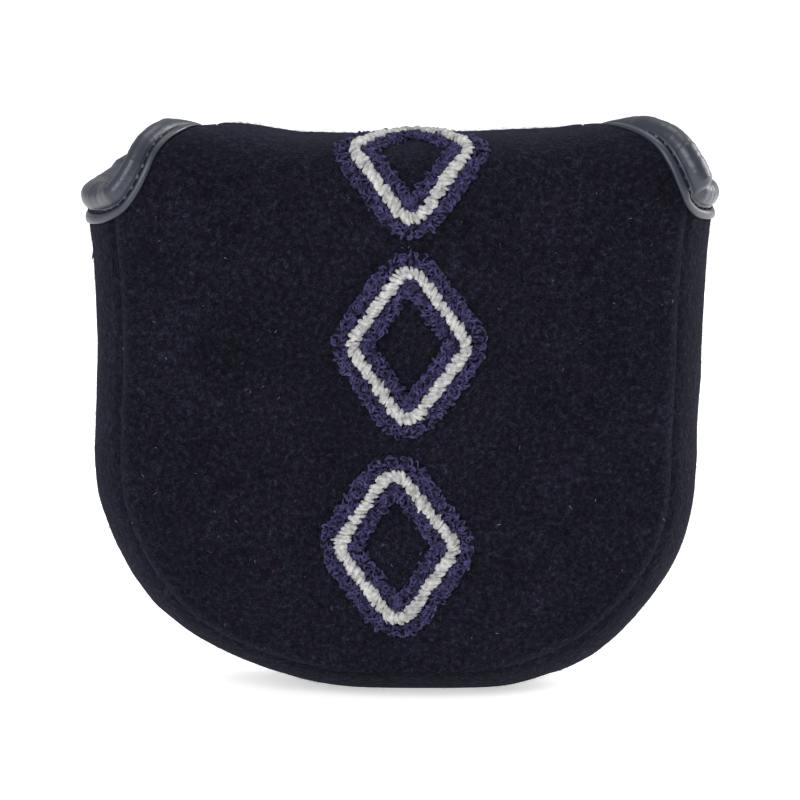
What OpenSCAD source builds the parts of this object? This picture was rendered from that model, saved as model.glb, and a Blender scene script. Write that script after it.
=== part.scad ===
// Padded mallet putter head cover: felt crown panel that folds over the mouth as a
// closing flap, felt sole panel and gusset, leather bound shaft notches and three
// chenille argyle motifs. It stands on the flattened end of its rounded bottom, with
// the crown panel facing -Y and the mouth facing +Z.

/* [Pouch] */
// Half of the width across the widest stretch of the gusset
half_width = 64.4; // [60:0.1:70]
// Radius of the two lower corners
corner_radius = 48.6; // [44:0.1:52]
// Radius of the long curve along the bottom
bottom_radius = 88.7; // [80:0.1:100]
// Depth pressed flat where the rounded bottom rests
rest_flat = 1.5; // [1:0.1:2]
// Half of the depth from seam to seam
half_depth = 17; // [15:0.5:20]
// How far each seam lies inside the gusset's widest line
seam_inset = 6.5; // [5:0.1:8]
// Height at which the gusset ends in the shaft notches
gusset_top = 100.5; // [98:0.5:101]
// How much the sides flare out towards the notches
side_flare = 1.4; // [0:0.1:2]
// Height of the fold line and of the mouth
mouth_height = 115; // [112:0.5:118]
// How far the crown panel swells beyond its seam
crown_lift = 2.8; // [1:0.1:4]
// How far the sole panel swells beyond its seam
sole_lift = 0.6; // [0.2:0.1:1]

/* [Layers] */
// Thickness of the wool felt
felt_thick = 1.5; // [1:0.1:2]
// Thickness of the padding foam
foam_thick = 2.2; // [1.5:0.1:3]
// Thickness of the fleece lining
lining_thick = 0.5; // [0.4:0.1:0.8]
// Thickness of the stiffening board in the flap and tab
board_thick = 1.5; // [1:0.1:1.6]
// Thickness of the leather binding
leather_thick = 0.9; // [0.7:0.1:1.2]

/* [Closure] */
// Half of the width of the flap over the mouth
flap_half_width = 37; // [30:0.5:37]
// Rise of the flap above the fold line
flap_rise = 5; // [4.5:0.1:6]
// Length of the closing tab down the sole panel
tab_length = 36; // [28:1:45]
// Radius of the closing tab's lower corners
tab_corner = 12; // [6:1:16]
// Radius of the closing magnets
magnet_radius = 5; // [4:0.5:6]
// Height of the closing magnets above the base
magnet_height = 89; // [86:1:92]
// Sideways distance of each magnet from the middle
magnet_spread = 19; // [12:1:22]

/* [Shaft notches] */
// Radius of the padded leather roll round each notch
roll_radius = 4; // [3.5:0.1:4.2]
// Width of the leather beyond the middle of the roll
binding_leg = 3.7; // [3.5:0.1:4]
// Stitches along each leather binding
binding_stitches = 22; // [12:1:30]

/* [Chenille motifs] */
// Half of the height of a motif along its white cord
motif_half_height = 16.8; // [12:0.1:18]
// Half of the width of a motif along its white cord
motif_half_width = 12; // [8:0.1:13]
// Distance between the middles of two motifs
motif_pitch = 43; // [42:0.5:46]
// Height of the lowest motif's middle above the base
lowest_motif = 34.5; // [32:0.5:38]
// Sideways place of the row of motifs
motif_x = 1.2; // [-3:0.1:3]
// Width of the looped band, with the cord in its middle
band_width = 8.4; // [6:0.1:9]
// Height of the looped band above the felt
band_height = 2; // [1.2:0.1:2.2]
// Radius of the white cord
cord_radius = 0.95; // [0.8:0.05:1.1]

/* [Hidden] */

felt_colour = [0.10, 0.10, 0.16];
foam_colour = [0.85, 0.83, 0.76];
lining_colour = [0.14, 0.15, 0.22];
leather_colour = [0.17, 0.20, 0.28];
band_colour = [0.16, 0.14, 0.32];
cord_colour = [0.92, 0.92, 0.90];
thread_colour = [0.08, 0.09, 0.15];
metal_colour = [0.72, 0.73, 0.75];
board_colour = [0.80, 0.80, 0.78];

side_steps = 4;
corner_steps = 7;
bottom_steps = 6;
section_steps = 8;
ring_shares = [0.06, 0.45, 0.7, 0.86, 0.95, 1];
gap = 0.1;
pad_gap = 0.3;
body_gap = 0.3;
bulge_power = 2.2;
swell_width = 22;
flare_start = 75;

corner_x = half_width - corner_radius;
bottom_z = bottom_radius - rest_flat;
bottom_angle = asin(corner_x / (bottom_radius - corner_radius));
corner_z = bottom_z - (bottom_radius - corner_radius) * cos(bottom_angle);

panel_inner = half_depth + 0.1;
panel_outer = panel_inner + felt_thick;
crown_face = panel_outer + crown_lift;
sole_face = panel_outer + sole_lift;
pouch_top = mouth_height - body_gap;
gusset_layers = felt_thick + foam_thick + lining_thick + 2 * pad_gap;
padding_inset = seam_inset + gusset_layers + body_gap;

tab_layers = felt_thick + board_thick + lining_thick + 2 * gap;
tab_inner = sole_face + 3 * body_gap;
tab_outer = tab_inner + tab_layers;
flap_middle_y = (tab_outer - crown_face) / 2;
flap_half_depth = (tab_outer + crown_face) / 2;

// Solids swept through a list of closed rings with the same number of points

function ring_quads(count, size, closed) =
  [for (i = [0 : count - (closed ? 1 : 2)], j = [0 : size - 1])
    let (k = (i + 1) % count, l = (j + 1) % size)
    [i * size + j, k * size + j, k * size + l, i * size + l]];

module loft(rings) {
  size = len(rings[0]);
  count = len(rings);
  caps = [[for (j = [0 : size - 1]) j], [for (j = [size - 1 : -1 : 0]) (count - 1) * size + j]];
  polyhedron([for (r = rings) each r], concat(ring_quads(count, size, false), caps), 4);
}

module closed_loft(rings) {
  polyhedron([for (r = rings) each r], ring_quads(len(rings), len(rings[0]), true), 4);
}

function unit(v) = v / norm(v);
function blend(a, b, t) = a + (b - a) * t;

// The pouch outline: straight flaring sides, two corner arcs and one long bottom arc

function flare(z) = side_flare * pow(max(0, (z - flare_start) / (gusset_top - flare_start)), 2);

function side_points(side, inset, top) =
  [for (i = [1 : side_steps])
    let (z = blend(corner_z, top, i / side_steps))
    [side * (half_width - inset + flare(z)), z]];

function corner_points(side, inset) =
  [for (i = [0 : corner_steps])
    let (a = blend(bottom_angle, 90, i / corner_steps), r = corner_radius - inset)
    [side * (corner_x + r * sin(a)), corner_z - r * cos(a)]];

function bottom_points(inset) =
  [for (i = [1 : bottom_steps - 1])
    let (a = blend(bottom_angle, -bottom_angle, i / bottom_steps), r = bottom_radius - inset)
    [r * sin(a), bottom_z - r * cos(a)]];

function reversed(list) = [for (i = [len(list) - 1 : -1 : 0]) list[i]];

function outline(inset, top, floor_z) =
  [for (p = concat(
      reversed(side_points(1, inset, top)), reversed(corner_points(1, inset)),
      bottom_points(inset), corner_points(-1, inset), side_points(-1, inset, top)))
    [p.x, max(p.y, floor_z)]];

// How far a point of the front view lies inside the outline

function inside(x, z) =
  let (across = [abs(x) - corner_x, z - corner_z], below = [abs(x), z - bottom_z])
  z > corner_z ? half_width + flare(z) - abs(x)
  : atan2(abs(x), bottom_z - z) > bottom_angle ? corner_radius - norm(across)
  : bottom_radius - norm(below);

function swell(x, z, lift) =
  lift * (1 - pow(1 - min(1, max(0, inside(x, z) - seam_inset) / swell_width), 2));

function crown_y(x, z) = -(panel_outer + swell(x, z, crown_lift));

// Front and back panels: a rounded layer with a straight mouth edge. The corners are cut
// for the shaft notches, and lower on the sole panel's side

crown_corner = [[57, 103.5], [54.5, 107.2], [52.2, 110.8], [48.5, pouch_top]];
sole_top = pouch_top - 0.6;
sole_corner = [[57, 100.8], [53.6, 103.4], [49.5, 105.8], [40.5, 106], [38.2, sole_top]];

function mouth_corner(side, way, shrink) =
  [for (p = side < 0 ? crown_corner : sole_corner) [way * (p.x - shrink), p.y - shrink]];

function panel_loop(side, inset) =
  let (shrink = inset - seam_inset, top = (side < 0 ? pouch_top : sole_top) - shrink)
  concat(reversed(mouth_corner(side, 1, shrink)), outline(inset, gusset_top - 2, shrink),
    mouth_corner(side, -1, shrink), [[-20, top], [20, top]]);

module panel_layer(side, inset, lift, near, far) {
  middle = [0, 62];
  loop = panel_loop(side, inset);
  sheet = function (share, face)
    [for (p = loop) let (q = middle + (p - middle) * share)
      [q.x, side * (face + swell(q.x, q.y, lift)), q.y]];
  outer = [for (share = ring_shares) sheet(share, far)];
  inner = [for (share = reversed(ring_shares)) sheet(share, near)];
  rings = concat(outer, inner);
  loft(side < 0 ? rings : reversed(rings));
}

module padding(side, lift) {
  face = panel_inner - pad_gap;
  panel_layer(side, padding_inset, lift, face - foam_thick, face);
}

module panel_lining(side, lift) {
  face = panel_inner - foam_thick - pad_gap - gap;
  panel_layer(side, padding_inset, lift, face - lining_thick, face);
}

// The gusset: a band that bulges between its two seams

module gusset_layer(depth, thick, reach, top) {
  shares = [for (i = [0 : section_steps]) blend(-1, 1, i / section_steps)];
  rim = function (extra)
    [for (t = shares) outline(seam_inset * pow(abs(t), bulge_power) + extra, top, extra)];
  outer = rim(depth);
  inner = rim(depth + thick);
  last = len(outer[0]) - 1;
  point = function (p, t) [p.x, t * reach, p.y];
  loft([for (k = [last : -1 : 0]) concat(
    [for (i = [0 : section_steps]) point(outer[i][k], shares[i])],
    [for (i = [section_steps : -1 : 0]) point(inner[i][k], shares[i])])]);
}

module crown_panel() {
  color(felt_colour) panel_layer(-1, seam_inset, crown_lift, panel_inner, panel_outer);
}

module crown_foam() {
  color(foam_colour) padding(-1, crown_lift);
}

module crown_lining() {
  color(lining_colour) panel_lining(-1, crown_lift);
}

module sole_panel() {
  color(felt_colour) panel_layer(1, seam_inset, sole_lift, panel_inner, panel_outer);
}

module sole_foam() {
  color(foam_colour) difference() {
    padding(1, sole_lift);
    for (x = [-1, 1]) magnet_place(x, half_depth - 2 * foam_thick)
      cylinder(4 * foam_thick, r = cup_radius + 0.2);
  }
}

module sole_lining() {
  color(lining_colour) panel_lining(1, sole_lift);
}

module gusset() {
  color(felt_colour) gusset_layer(0, felt_thick, half_depth, gusset_top);
}

module gusset_foam() {
  color(foam_colour) gusset_layer(felt_thick + pad_gap, foam_thick, half_depth - body_gap, gusset_top - 0.5);
}

module gusset_lining() {
  depth = felt_thick + foam_thick + 2 * pad_gap;
  color(lining_colour) gusset_layer(depth, lining_thick, half_depth - body_gap, gusset_top - 0.5);
}

// Seam threads: a thin cord laid in the groove outside each seam

module seam_thread(side) {
  radius = 0.3;
  route = outline(seam_inset - 0.4, gusset_top - 3, 1);
  y = side * (half_depth + 0.5);
  last = len(route) - 1;
  color(thread_colour) loft([for (i = [last : -1 : 0])
    let (p = route[i], d = unit(route[min(i + 1, last)] - route[max(i - 1, 0)]), n = [d.y, -d.x])
    [for (a = [0 : 60 : 300])
      [p.x + radius * n.x * cos(a), y + radius * sin(a), p.y + radius * n.y * cos(a)]]]);
}

module crown_seam_thread() {
  seam_thread(-1);
}

module sole_seam_thread() {
  seam_thread(1);
}

// Leather strip folded over the sole panel's mouth edge

module mouth_binding() {
  drop = 5;
  wall = 0.4;
  front = panel_inner + sole_lift - foam_thick - lining_thick - pad_gap - 2 * gap - wall;
  back = sole_face + gap + wall;
  color(leather_colour) translate([-flap_half_width, 0, 0]) rotate([90, 0, 90])
    linear_extrude(2 * flap_half_width) difference() {
      translate([front, pouch_top - drop]) square([back - front, drop]);
      translate([front + wall, pouch_top - drop - 1])
        square([back - front - 2 * wall, drop + 1 - wall]);
    }
}

// Shaft notches: a padded leather roll that runs from the crown panel's mouth corner,
// round the end of the gusset and up to the sole panel's lower mouth corner

roll_end = [63.6, 0, 105.3];
roll_front = [[43, -12, 118.5], [57.5, -18, 125.6], [60, -14, 100], roll_end];
roll_back = [[43, 15.5, 110.5], [52, 18, 114], [60, 14, 101], roll_end];
roll_steps = 22;

function bezier(p, t) =
  p[0] * pow(1 - t, 3) + p[1] * 3 * t * pow(1 - t, 2) + p[2] * 3 * t * t * (1 - t) + p[3] * pow(t, 3);

function roll_point(s) = bezier(s < 0 ? roll_front : roll_back, 1 - abs(s));

// The four entries are the middle, the direction along the roll, the direction away
// from the notch and the direction out of the cover
function roll_frame(s) =
  let (
    step = 0.01,
    along = unit(roll_point(min(1, s + step)) - roll_point(max(-1, s - step))),
    turn = 90 * (1 - pow(1 - abs(s), 3)) * sign(s),
    away = unit(cross(along, [cos(turn), sin(turn), 0]))
  )
  [roll_point(s), along, away, cross(away, along)];

function roll_ring(s, section) =
  let (f = roll_frame(s))
  [for (q = section) f[0] + f[2] * q.x + f[3] * q.y];

module roll_sweep(section) {
  loft([for (i = [0 : roll_steps]) roll_ring(blend(-1, 1, i / roll_steps), section)]);
}

binding_section = let (
    outer = [for (a = [84 : 24 : 276]) roll_radius * [cos(a), sin(a)]],
    inside_radius = roll_radius - leather_thick,
    inner = [for (a = [276 : -24 : 84]) inside_radius * [cos(a), sin(a)]]
  )
  concat([[binding_leg, roll_radius]], outer, [[binding_leg - 0.6, -roll_radius]],
    [[binding_leg - 0.6, -inside_radius]], inner, [[binding_leg, inside_radius]]);

module mirrored(side) {
  mirror([side < 0 ? 1 : 0, 0, 0]) children();
}

module collar(side) {
  color(leather_colour) mirrored(side) roll_sweep(binding_section);
}

module collar_core(side) {
  radius = roll_radius - leather_thick - 0.3;
  color(foam_colour) mirrored(side) roll_sweep([for (a = [0 : 45 : 315]) radius * [cos(a), sin(a)]]);
}

module point_along(place, direction) {
  translate(place) rotate([0, acos(direction.z), atan2(direction.y, direction.x)]) children();
}

module collar_stitches(side) {
  stitch_length = 2;
  stitch_radius = 0.3;
  color(thread_colour) mirrored(side) for (i = [1 : binding_stitches])
    let (f = roll_frame(blend(-1, 1, (i - 0.5) / binding_stitches)))
    point_along(f[0] + f[2] * (binding_leg - 1.2) + f[3] * (roll_radius + stitch_radius + 0.1), f[1])
      cylinder(stitch_length, r = stitch_radius, center = true, $fn = 16);
}

module collar_left() {
  collar(-1);
}

module collar_right() {
  collar(1);
}

module collar_core_left() {
  collar_core(-1);
}

module collar_core_right() {
  collar_core(1);
}

module collar_stitches_left() {
  collar_stitches(-1);
}

module collar_stitches_right() {
  collar_stitches(1);
}

// Closing magnets: two discs in cups in the sole panel's padding, two in the tab

cup_radius = magnet_radius + 0.8;
cup_depth = foam_thick - 0.2;

module magnet_place(side, y) {
  translate([side * magnet_spread, y, magnet_height]) rotate([-90, 0, 0]) children();
}

module pouch_magnet_cups() {
  face = panel_inner + sole_lift - pad_gap - 0.1 - cup_depth;
  color(board_colour) for (side = [-1, 1]) magnet_place(side, face) difference() {
    cylinder(cup_depth, r = cup_radius, $fn = 48);
    translate([0, 0, 0.4]) cylinder(cup_depth, r = magnet_radius + 0.1, $fn = 48);
  }
}

module pouch_magnets() {
  face = panel_inner + sole_lift - pad_gap - 0.1 - cup_depth;
  color(metal_colour) for (side = [-1, 1]) magnet_place(side, face + 0.45)
    cylinder(cup_depth - 0.5, r = magnet_radius, $fn = 48);
}

// The flap: layers of one arch over the mouth, from the crown fold to the tab fold

function arch(inset) =
  [for (i = [0 : 24])
    let (a = 180 * i / 24, c = cos(a), s = sin(a))
    [flap_middle_y - (flap_half_depth - inset) * sign(c) * pow(abs(c), 0.6),
      mouth_height + (flap_rise - inset) * pow(abs(s), 0.6)]];

module flap_layer(depth, thick, half) {
  translate([-half, 0, 0]) rotate([90, 0, 90]) linear_extrude(2 * half)
    polygon(concat(arch(depth), reversed(arch(depth + thick))));
}

module flap_felt() {
  color(felt_colour) flap_layer(0, felt_thick, flap_half_width);
}

module flap_board() {
  color(board_colour) flap_layer(felt_thick + gap, board_thick, flap_half_width - 1);
}

module flap_lining() {
  color(lining_colour) flap_layer(felt_thick + board_thick + 2 * gap, lining_thick, flap_half_width);
}

// The tab: flat layers that hang from the tab fold over the sole panel

module tab_outline(shrink) {
  half = flap_half_width - shrink;
  top = mouth_height - body_gap;
  low = top - tab_length + shrink;
  round = tab_corner - shrink;
  union() {
    translate([-half, low + round]) square([2 * half, top - low - round]);
    translate([round - half, low]) square([2 * (half - round), top - low]);
    for (side = [-1, 1]) translate([side * (half - round), low + round]) circle(round, $fn = 64);
  }
}

module tab_layer(near, thick, shrink) {
  translate([0, near + thick, 0]) rotate([90, 0, 0]) linear_extrude(thick) tab_outline(shrink);
}

module tab_felt() {
  color(felt_colour) tab_layer(tab_outer - felt_thick, felt_thick, 0);
}

module tab_board() {
  near = tab_inner + lining_thick + gap;
  color(board_colour) difference() {
    tab_layer(near, board_thick, 3);
    for (side = [-1, 1]) magnet_place(side, near - 1)
      cylinder(board_thick + 2, r = magnet_radius + 0.2, $fn = 48);
  }
}

module tab_lining() {
  color(lining_colour) tab_layer(tab_inner, lining_thick, 0);
}

module tab_magnets() {
  near = tab_inner + lining_thick + gap;
  color(metal_colour) for (side = [-1, 1]) magnet_place(side, near + 0.05)
    cylinder(board_thick - 0.1, r = magnet_radius, $fn = 48);
}

// One row of stitches down each side of the tab and along its lower edge, between the
// felt and the lining, outside the board

module tab_stitches() {
  margin = 1.6;
  pitch = 3.2;
  radius = 0.3;
  y = tab_inner + lining_thick + 0.7;
  half = flap_half_width - margin;
  low = mouth_height - body_gap - tab_length + margin;
  span = tab_length - tab_corner - margin;
  color(thread_colour) {
    for (side = [-1, 1], i = [0 : floor(span / pitch) - 1])
      translate([side * half, y, low + tab_corner + pitch * i])
        cylinder(pitch - 1, r = radius, $fn = 16);
    for (i = [0 : floor(2 * (half - tab_corner) / pitch) - 1])
      translate([tab_corner - half + pitch * i, y, low]) rotate([0, 90, 0])
        cylinder(pitch - 1, r = radius, $fn = 16);
  }
}

// Chenille motifs: an argyle diamond outline, a looped band with a white cord in its
// groove. The highest one runs over the crown fold, in one piece on each side of it

motif_corner = 1.3;
motif_side_steps = 4;

// A diamond with rounded points, as [sideways, along the crown]
function diamond() =
  let (
    tips = [[0, 1], [1, 0], [0, -1], [-1, 0]],
    corner = function (k) [tips[k % 4].x * motif_half_width, tips[k % 4].y * motif_half_height],
    trim = motif_corner / motif_half_width
  )
  [for (k = [0 : 3], i = [0 : motif_side_steps])
    let (t = blend(trim, 1 - trim, i / motif_side_steps))
    blend(corner(k), corner(k + 1), t)];

band_base = 0.25;

function band_section() =
  let (w = band_width / 2, h = band_height, g = cord_radius + 0.15)
  [[-w, 0], [-w, h * 0.7], [-w + 1, h], [-g, h], [-g, band_base], [g, band_base], [g, h], [w - 1, h],
    [w, h * 0.7], [w, 0]];

function cord_section() =
  [for (a = [360 : -60 : 60]) [cord_radius * cos(a), cord_radius * (1 + sin(a)) + band_base + 0.05]];

// The distance from the diamond's middle to its sides. A section's first axis grows or
// shrinks the diamond by that share, which keeps the sides parallel and the points whole
diamond_inradius = motif_half_width * motif_half_height / norm([motif_half_width, motif_half_height]);

function motif_rings(section, place) =
  [for (p = diamond()) [for (q = section) place(p * (1 + q.x / diamond_inradius), q.y)]];

function on_crown(middle) =
  function (p, out) [motif_x + p.x, crown_y(motif_x + p.x, middle + p.y) - 2 * gap - out, middle + p.y];

module whole_motif(number, section) {
  closed_loft(motif_rings(section, on_crown(lowest_motif + number * motif_pitch)));
}

module motif_low_band() {
  color(band_colour) whole_motif(0, band_section());
}

module motif_low_cord() {
  color(cord_colour) whole_motif(0, cord_section());
}

module motif_middle_band() {
  color(band_colour) whole_motif(1, band_section());
}

module motif_middle_cord() {
  color(cord_colour) whole_motif(1, cord_section());
}

// The part of the highest motif below the fold, cut level under it

module top_motif(section) {
  cut = mouth_height - 1.5;
  intersection() {
    whole_motif(2, section);
    translate([-40, -60, cut - 60]) cube([80, 60, 60]);
  }
}

module motif_top_band() {
  color(band_colour) top_motif(band_section());
}

module motif_top_cord() {
  color(cord_colour) top_motif(cord_section());
}

// The part of the highest motif that lies on the flap

top_middle = lowest_motif + 2 * motif_pitch;

module fold_motif(section) {
  shift = mouth_height - top_middle;
  crest = mouth_height + flap_rise;
  lay = function (p, out) [motif_x + p.x, -crown_face + p.y - shift, crest + gap + out];
  intersection() {
    closed_loft(motif_rings(section, lay));
    translate([-40, 8 - crown_face, mouth_height]) cube([80, 60, 20]);
  }
}

module motif_fold_band() {
  color(band_colour) fold_motif(band_section());
}

module motif_fold_cord() {
  color(cord_colour) fold_motif(cord_section());
}

crown_panel();
crown_foam();
crown_lining();
sole_panel();
sole_foam();
sole_lining();
gusset();
gusset_foam();
gusset_lining();
crown_seam_thread();
sole_seam_thread();
mouth_binding();
collar_left();
collar_right();
collar_core_left();
collar_core_right();
collar_stitches_left();
collar_stitches_right();
pouch_magnets();
pouch_magnet_cups();
motif_low_band();
motif_low_cord();
motif_middle_band();
motif_middle_cord();
motif_top_band();
motif_top_cord();
flap_felt();
flap_board();
flap_lining();
motif_fold_band();
motif_fold_cord();
tab_felt();
tab_board();
tab_lining();
tab_magnets();
tab_stitches();
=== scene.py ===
"""Looks for a padded mallet putter head cover in navy felt, with leather bound shaft
notches, a folding flap and three chenille diamonds. Lengths are in millimetres until
build() turns them into metres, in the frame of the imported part."""

import math

import bpy
import numpy as np
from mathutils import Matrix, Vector, noise
from mathutils.geometry import delaunay_2d_cdt
from mathutils.kdtree import KDTree


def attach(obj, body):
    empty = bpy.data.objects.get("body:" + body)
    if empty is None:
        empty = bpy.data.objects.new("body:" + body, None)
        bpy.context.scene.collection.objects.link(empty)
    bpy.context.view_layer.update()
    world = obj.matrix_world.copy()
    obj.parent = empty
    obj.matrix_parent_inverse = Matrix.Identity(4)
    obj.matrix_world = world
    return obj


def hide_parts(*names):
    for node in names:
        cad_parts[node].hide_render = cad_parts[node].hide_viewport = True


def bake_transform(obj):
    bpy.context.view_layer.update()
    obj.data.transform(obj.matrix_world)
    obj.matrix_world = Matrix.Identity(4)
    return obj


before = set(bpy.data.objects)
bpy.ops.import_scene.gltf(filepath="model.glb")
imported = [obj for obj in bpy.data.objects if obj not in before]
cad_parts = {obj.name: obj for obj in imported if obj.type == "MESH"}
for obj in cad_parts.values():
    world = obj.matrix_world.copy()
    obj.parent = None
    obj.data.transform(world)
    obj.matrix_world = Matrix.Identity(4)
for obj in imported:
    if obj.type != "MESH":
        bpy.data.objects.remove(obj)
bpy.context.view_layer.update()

scene = bpy.context.scene
MM = 0.001

# ---------------------------------------------------------------- shape of the cover

HALF_WIDTH = 64.4
CORNER_RADIUS = 48.6
BOTTOM_RADIUS = 88.7
REST_FLAT = 1.5
HALF_DEPTH = 17.0
SEAM_INSET = 6.5
SIDE_FLARE = 1.4
FLARE_START = 75.0
FLARE_END = 100.5
PANEL_OUTER = 18.6
CROWN_LIFT = 2.8
SOLE_LIFT = 0.6
SWELL_WIDTH = 22.0
FELT = 1.5
CORNER_X = HALF_WIDTH - CORNER_RADIUS
BOTTOM_Z = BOTTOM_RADIUS - REST_FLAT
BOTTOM_ANGLE = math.asin(CORNER_X / (BOTTOM_RADIUS - CORNER_RADIUS))
CORNER_Z = BOTTOM_Z - (BOTTOM_RADIUS - CORNER_RADIUS) * math.cos(BOTTOM_ANGLE)

FOLD = 104.8  # where the crown felt starts to turn over the mouth
CREST_Y = -3.0
BACK_Z = 107.0
TAB_FACE = 23.8
TAB_END = 78.7
FRONT_POWER = 2.6
BACK_POWER = 3.4
SLIT = 111.0  # the neck of the flap is free of the ears above this
NECK = 38.9
TAB_HALF = 37.0
MOUTH_TOP = 112.4  # top of the leather along the sole panel
BULGE_POWER = 2.9
ROUND = 1.8  # radius of the panels' edges in the seams


def smooth(x):
    x = np.clip(x, 0, 1)
    return x * x * (3 - 2 * x)


def flare(z):
    return SIDE_FLARE * np.maximum(0, (z - FLARE_START) / (FLARE_END - FLARE_START)) ** 2


def lean(z):
    """The bottom hangs a little to one side and the middle to the other."""
    return 5.2 * np.maximum(0, 1 - np.maximum(z, 0) / 20) ** 1.5 - 0.9 * np.exp(-(((z - 51) / 15) ** 2))


def inside(x, z):
    """How far a point of the front view lies inside the outline."""
    x = np.abs(x)
    side = HALF_WIDTH + flare(z) - x
    corner = CORNER_RADIUS - np.hypot(x - CORNER_X, z - CORNER_Z)
    low = BOTTOM_RADIUS - np.hypot(x, z - BOTTOM_Z)
    turned = np.arctan2(x, BOTTOM_Z - z) > BOTTOM_ANGLE
    return np.where(z > CORNER_Z, side, np.where(turned, corner, low))


def outline(inset, top, spacing):
    """The U from the right side, round the bottom, to the left side."""
    straight = np.linspace(top, CORNER_Z, 60)[:-1]
    right = np.stack([HALF_WIDTH - inset + flare(straight), straight], 1)
    turn = np.linspace(math.pi / 2, BOTTOM_ANGLE, 90)
    r = CORNER_RADIUS - inset
    corner = np.stack([CORNER_X + r * np.sin(turn), CORNER_Z - r * np.cos(turn)], 1)
    turn = np.linspace(BOTTOM_ANGLE, 0, 60)[1:]
    r = BOTTOM_RADIUS - inset
    low = np.stack([r * np.sin(turn), BOTTOM_Z - r * np.cos(turn)], 1)
    half = np.concatenate([right, corner, low])
    whole = np.concatenate([half, half[-2::-1] * [-1, 1]])
    whole[:, 1] = rested(whole[:, 1], inset)
    return resample(whole, spacing)


def resample(points, spacing, count=None):
    points = np.asarray(points, float)
    steps = np.linalg.norm(np.diff(points, axis=0), axis=1)
    run = np.concatenate([[0], np.cumsum(steps)])
    count = count or max(2, int(round(run[-1] / spacing)) + 1)
    at = np.linspace(0, run[-1], count)
    return np.stack([np.interp(at, run, points[:, k]) for k in range(points.shape[1])], 1)


def swell(x, z, lift):
    q = np.clip((inside(x, z) - SEAM_INSET) / SWELL_WIDTH, 0, 1)
    return lift * (1 - (1 - q) ** 2)


def rounded_edge(x, z):
    q = np.clip(inside(x, z) - SEAM_INSET, 0, ROUND)
    return ROUND - np.sqrt(ROUND**2 - (ROUND - q) ** 2)


def crest(x):
    left = 0.024 * np.abs(x) + 1.6 * smooth((np.abs(x) - 20) / 15)
    right = 0.042 * np.abs(x) + 1.1 * smooth((np.abs(x) - 33) / 9)
    return 118.5 + np.where(x < 0, left, right)


def arc_table(depth, rise, power):
    a = np.linspace(0, math.pi / 2, 500)
    y, z = depth * np.cos(a) ** (2 / power), rise * np.sin(a) ** (2 / power)
    return a, np.concatenate([[0], np.cumsum(np.hypot(np.diff(y), np.diff(z)))])


front_turn, front_run = arc_table(18.4, 15.0, FRONT_POWER)
back_turn, back_run = arc_table(TAB_FACE - CREST_Y, 13.0, BACK_POWER)
S_CREST = FOLD + front_run[-1]
S_BACK = S_CREST + back_run[-1]
S_END = S_BACK + BACK_Z - TAB_END
S_MIDDLE = S_CREST + 4.0


def crown(x, s):
    """The outside of the crown felt: up the front, over the mouth and down the tab."""
    x, s = np.broadcast_arrays(np.asarray(x, float), np.asarray(s, float))
    low = np.minimum(s, FOLD)
    face = -(PANEL_OUTER + swell(x, low, CROWN_LIFT)) + rounded_edge(x, low)
    a = np.interp(s, FOLD + front_run, front_turn)
    b = np.interp(s, S_CREST + back_run[-1] - back_run[::-1], back_turn[::-1])
    top = crest(x)
    y_front = CREST_Y + (face - CREST_Y) * np.cos(a) ** (2 / FRONT_POWER)
    z_front = np.where(s < FOLD, s, FOLD + (top - FOLD) * np.sin(a) ** (2 / FRONT_POWER))
    y_back = CREST_Y + (TAB_FACE - CREST_Y) * np.cos(b) ** (2 / BACK_POWER)
    z_back = BACK_Z + (top - BACK_Z) * np.sin(b) ** (2 / BACK_POWER)
    z_back = z_back - np.maximum(0, s - S_BACK)
    back = s > S_CREST
    return np.stack([x, np.where(back, y_back, y_front), np.where(back, z_back, z_front)], -1)


def sole(x, z):
    y = PANEL_OUTER + swell(x, z, SOLE_LIFT) - rounded_edge(x, z)
    return np.stack(np.broadcast_arrays(x, y, z), -1).astype(float)


def bulge(t):
    return SEAM_INSET * np.abs(t) ** BULGE_POWER + 0.9 * smooth((np.abs(t) - 0.9) / 0.1)


def rested(z, floor=0.0):
    """Heights with the lowest ones eased onto the table."""
    z = z - floor
    return floor + np.maximum(0, 0.5 * (z + np.sqrt(z * z + 1.4)) - 0.2)


def unit(v):
    return v / np.maximum(np.linalg.norm(v, axis=-1, keepdims=True), 1e-9)


def normal_of(surface, u, v, side=1.0):
    e = 0.05
    du = surface(u + e, v) - surface(u - e, v)
    dv = surface(u, v + e) - surface(u, v - e)
    return unit(np.cross(du, dv)) * side


def height_of(x, z):
    """The s at which the crown felt passes a height z on the front."""
    low, high = np.full_like(np.asarray(x, float), 60.0), np.full_like(np.asarray(x, float), S_CREST)
    for _ in range(40):
        middle = (low + high) / 2
        under = crown(x, middle)[..., 2] < z
        low, high = np.where(under, middle, low), np.where(under, high, middle)
    return (low + high) / 2


# ---------------------------------------------------------------- meshes


def build(name, verts, faces, material, smooth_shade=True):
    v = np.array(verts, float)
    v[:, 0] += lean(v[:, 2])
    mesh = bpy.data.meshes.new(name)
    mesh.from_pydata((v * MM).tolist(), [], [tuple(int(i) for i in f) for f in faces])
    mesh.materials.append(material)
    mesh.polygons.foreach_set("use_smooth", [smooth_shade] * len(mesh.polygons))
    mesh.validate()
    obj = bpy.data.objects.new(name, mesh)
    scene.collection.objects.link(obj)
    return obj


def grid_faces(rows, columns, closed=False):
    """Quads of a grid whose points run along the columns first."""
    i, j = np.meshgrid(np.arange(rows - 1), np.arange(columns if closed else columns - 1), indexing="ij")
    k = (j + 1) % columns
    quads = np.stack([i * columns + j, i * columns + k, (i + 1) * columns + k, (i + 1) * columns + j], -1)
    return quads.reshape(-1, 4)


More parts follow.
